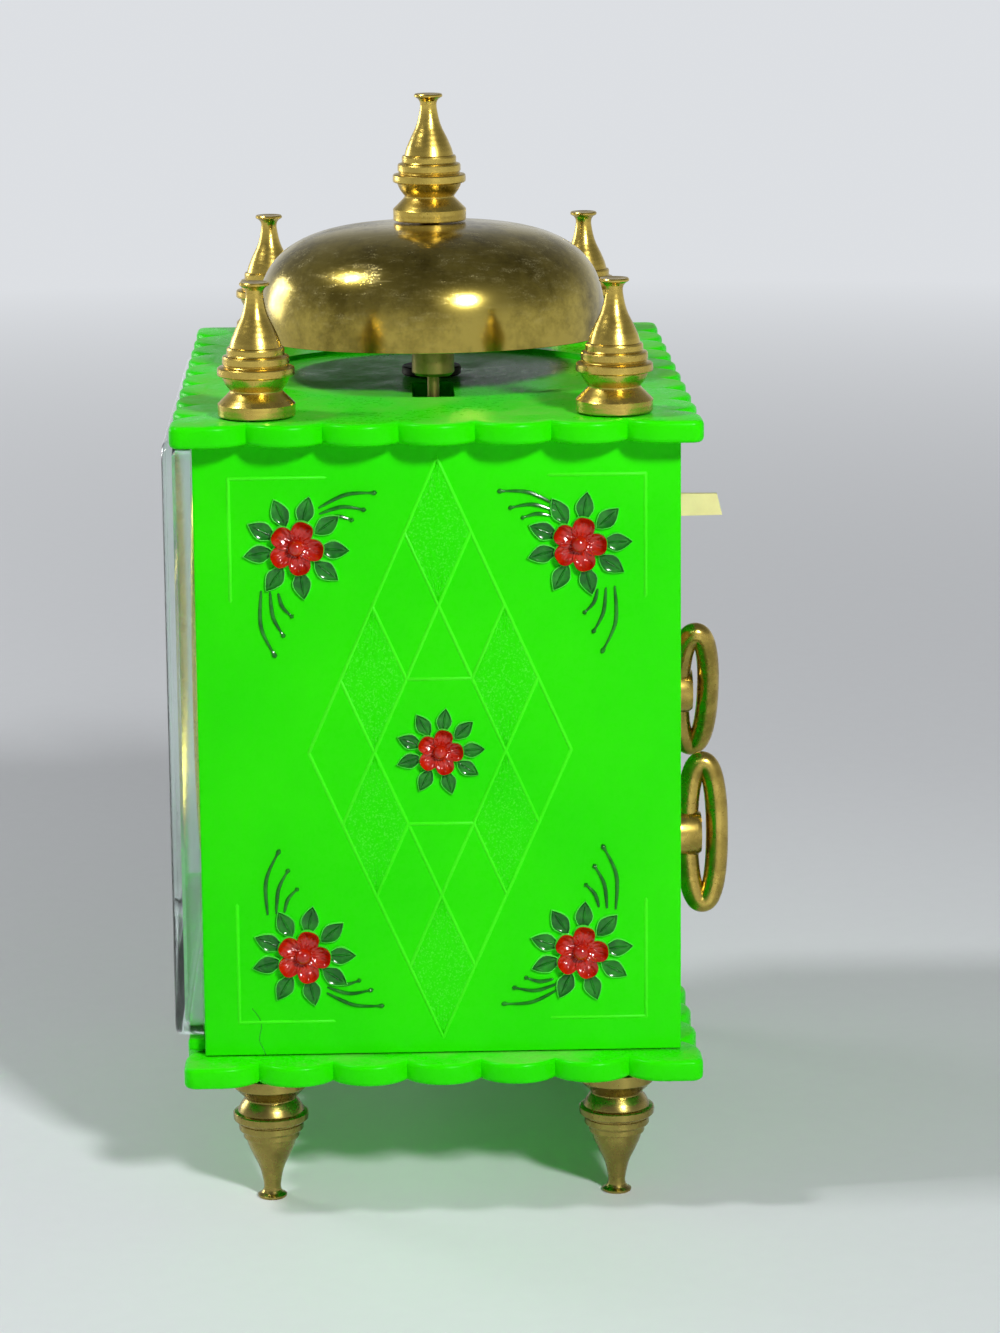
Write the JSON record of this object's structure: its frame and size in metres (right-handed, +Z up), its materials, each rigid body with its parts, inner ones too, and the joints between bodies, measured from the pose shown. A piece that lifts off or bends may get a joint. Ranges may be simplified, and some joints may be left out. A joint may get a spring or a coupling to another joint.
{
  "type": "wind-up alarm clock",
  "caption": "Wind-up alarm clock in a moulded case with scalloped plates, turned finials and feet, a bell on top, a glazed dial and winding keys behind.",
  "frame": {"origin": "middle of the clock's box in plan, on the surface that the feet stand on", "axes": "+Z up, -Y towards the dial's reader, +X to that reader's right"},
  "size_m": [0.11, 0.0857, 0.1616],
  "materials": {
    "green_plastic": "glossy moulded plastic, bright green",
    "clear_plastic": "clear moulded box",
    "dial_face": "printed dial card",
    "brass_turned": "satin turned brass",
    "bell_brass": "polished, lightly tarnished brass",
    "key_brass": "satin brass wire and sheet",
    "movement_brass": "rolled brass",
    "steel": "bright steel",
    "spring_steel": "blued spring steel",
    "hand_black": "black enamel"
  },
  "bodies": {
    "case": {"base_plate": "green_plastic", "top_plate": "green_plastic", "side_panel_right": "green_plastic", "side_panel_left": "green_plastic", "front_frame": "green_plastic", "back_cover": "green_plastic", "crystal": "clear_plastic", "dial": "dial_face", "finial_front_right": "brass_turned", "finial_front_left": "brass_turned", "finial_back_right": "brass_turned", "finial_back_left": "brass_turned", "foot_front_right": "brass_turned", "foot_front_left": "brass_turned", "foot_back_right": "brass_turned", "foot_back_left": "brass_turned", "bell_finial": "brass_turned", "dial_bezel": "brass_turned", "bell": "bell_brass", "movement_front_plate": "movement_brass", "movement_back_plate": "movement_brass", "tie_rod_front_right": "steel", "tie_rod_front_left": "steel", "tie_rod_back_right": "steel", "tie_rod_back_left": "steel", "bell_post": "steel", "movement_screw_1": "steel", "movement_screw_2": "steel", "movement_screw_3": "steel", "cover_screw_1": "steel", "cover_screw_2": "steel", "time_mainspring": "spring_steel", "alarm_mainspring": "spring_steel"},
    "hand_setter": {"centre_arbor": "steel", "minute_hand": "hand_black"},
    "minute_gear": {"minute_wheel": "movement_brass"},
    "hour_hand_pipe": {"hour_wheel": "movement_brass", "hour_hand": "hand_black"},
    "alarm_setter": {"alarm_set_arbor": "steel"},
    "alarm_hand_pipe": {"alarm_wheel": "movement_brass", "alarm_hand": "hand_black"},
    "fourth_gear": {"fourth_wheel": "movement_brass"},
    "third_gear": {"third_wheel": "movement_brass"},
    "centre_gear": {"centre_wheel": "movement_brass"},
    "great_gear": {"great_wheel": "movement_brass"},
    "escape_gear": {"escape_wheel": "movement_brass"},
    "time_winder": {"time_key": "key_brass", "time_arbor": "steel"},
    "time_pawl": {"time_click": "steel"},
    "pallets": {"pallet_lever": "steel"},
    "balance": {"balance_wheel": "movement_brass", "hairspring": "spring_steel"},
    "rate_lever": {"regulator": "steel"},
    "alarm_great_gear": {"alarm_great_wheel": "movement_brass"},
    "alarm_escape_gear": {"alarm_escape_wheel": "movement_brass"},
    "alarm_winder": {"alarm_key": "key_brass", "alarm_arbor": "steel"},
    "alarm_pawl": {"alarm_click": "steel"},
    "striker": {"hammer": "movement_brass"},
    "stop_lever": {"alarm_stop_lever": "key_brass"}
  },
  "joints": [
    {"name": "hand_setting", "type": "hinge", "parent": "case", "child": "hand_setter", "pos_m": [0, 0, 0.07555], "axis": [0, 1, 0], "continuous": true},
    {"name": "minute_gear_turn", "type": "hinge", "parent": "case", "child": "minute_gear", "pos_m": [-0.0048, 0, 0.06724], "axis": [0, 1, 0], "continuous": true},
    {"name": "hour_hand_turn", "type": "hinge", "parent": "case", "child": "hour_hand_pipe", "pos_m": [0, 0, 0.07555], "axis": [0, 1, 0], "continuous": true},
    {"name": "alarm_setting", "type": "hinge", "parent": "case", "child": "alarm_setter", "pos_m": [0.01199, 0, 0.07555], "axis": [0, 1, 0], "continuous": true},
    {"name": "alarm_hand_turn", "type": "hinge", "parent": "case", "child": "alarm_hand_pipe", "pos_m": [0, 0, 0.07555], "axis": [0, 1, 0], "continuous": true},
    {"name": "fourth_gear_turn", "type": "hinge", "parent": "case", "child": "fourth_gear", "pos_m": [-0.00363, 0, 0.09089], "axis": [0, 1, 0], "continuous": true},
    {"name": "third_gear_turn", "type": "hinge", "parent": "case", "child": "third_gear", "pos_m": [0.00574, 0, 0.08549], "axis": [0, 1, 0], "continuous": true},
    {"name": "centre_gear_turn", "type": "hinge", "parent": "case", "child": "centre_gear", "pos_m": [0, 0, 0.07555], "axis": [0, 1, 0], "continuous": true},
    {"name": "great_gear_turn", "type": "hinge", "parent": "case", "child": "great_gear", "pos_m": [-0.00926, 0, 0.06523], "axis": [0, 1, 0], "continuous": true},
    {"name": "escape_gear_turn", "type": "hinge", "parent": "case", "child": "escape_gear", "pos_m": [-0.0132, 0, 0.09258], "axis": [0, 1, 0], "continuous": true},
    {"name": "time_winding", "type": "hinge", "parent": "great_gear", "child": "time_winder", "pos_m": [-0.00926, 0, 0.06523], "axis": [0, 1, 0], "range_deg": [-1800, 0]},
    {"name": "time_pawl_lift", "type": "hinge", "parent": "great_gear", "child": "time_pawl", "pos_m": [-0.00926, 0, 0.05803], "axis": [0, 1, 0], "range_deg": [0, 15], "stiffness_Nm_per_rad": 0.0005},
    {"name": "pallet_rock", "type": "hinge", "parent": "case", "child": "pallets", "pos_m": [-0.01959, 0, 0.09026], "axis": [0, 1, 0], "range_deg": [-5, 5]},
    {"name": "balance_swing", "type": "hinge", "parent": "case", "child": "balance", "pos_m": [-0.02267, 0, 0.0818], "axis": [0, 1, 0], "range_deg": [-135, 135], "stiffness_Nm_per_rad": 0.000008},
    {"name": "rate_adjustment", "type": "hinge", "parent": "case", "child": "rate_lever", "pos_m": [-0.02267, 0, 0.0818], "axis": [0, 1, 0], "range_deg": [-10, 10]},
    {"name": "alarm_great_turn", "type": "hinge", "parent": "case", "child": "alarm_great_gear", "pos_m": [0.00928, 0, 0.04631], "axis": [0, 1, 0], "continuous": true},
    {"name": "alarm_escape_turn", "type": "hinge", "parent": "case", "child": "alarm_escape_gear", "pos_m": [0.01558, 0, 0.05722], "axis": [0, 1, 0], "continuous": true},
    {"name": "alarm_winding", "type": "hinge", "parent": "alarm_great_gear", "child": "alarm_winder", "pos_m": [0.00928, 0, 0.04631], "axis": [0, 1, 0], "range_deg": [-1080, 0]},
    {"name": "alarm_pawl_lift", "type": "hinge", "parent": "alarm_great_gear", "child": "alarm_pawl", "pos_m": [0.00928, 0, 0.03911], "axis": [0, 1, 0], "range_deg": [0, 15], "stiffness_Nm_per_rad": 0.0005},
    {"name": "hammer_swing", "type": "hinge", "parent": "case", "child": "striker", "pos_m": [0.02103, 0, 0.06381], "axis": [0, 1, 0], "range_deg": [-5, 1.1], "stiffness_Nm_per_rad": 0.01},
    {"name": "alarm_stop", "type": "hinge", "parent": "case", "child": "stop_lever", "pos_m": [0, 0, 0.08745], "axis": [0, 1, 0], "range_deg": [-15, 15]}
  ],
  "couplings": [
    {"joint": "minute_gear_turn", "follows": "hand_setting", "ratio": -0.33333},
    {"joint": "hour_hand_turn", "follows": "hand_setting", "ratio": 0.083333},
    {"joint": "alarm_hand_turn", "follows": "alarm_setting", "ratio": -0.33333},
    {"joint": "escape_gear_turn", "follows": "fourth_gear_turn", "ratio": -8},
    {"joint": "third_gear_turn", "follows": "fourth_gear_turn", "ratio": -0.125},
    {"joint": "centre_gear_turn", "follows": "fourth_gear_turn", "ratio": 0.016667},
    {"joint": "great_gear_turn", "follows": "fourth_gear_turn", "ratio": -0.0027778},
    {"joint": "alarm_escape_turn", "follows": "alarm_great_turn", "ratio": -6}
  ]
}
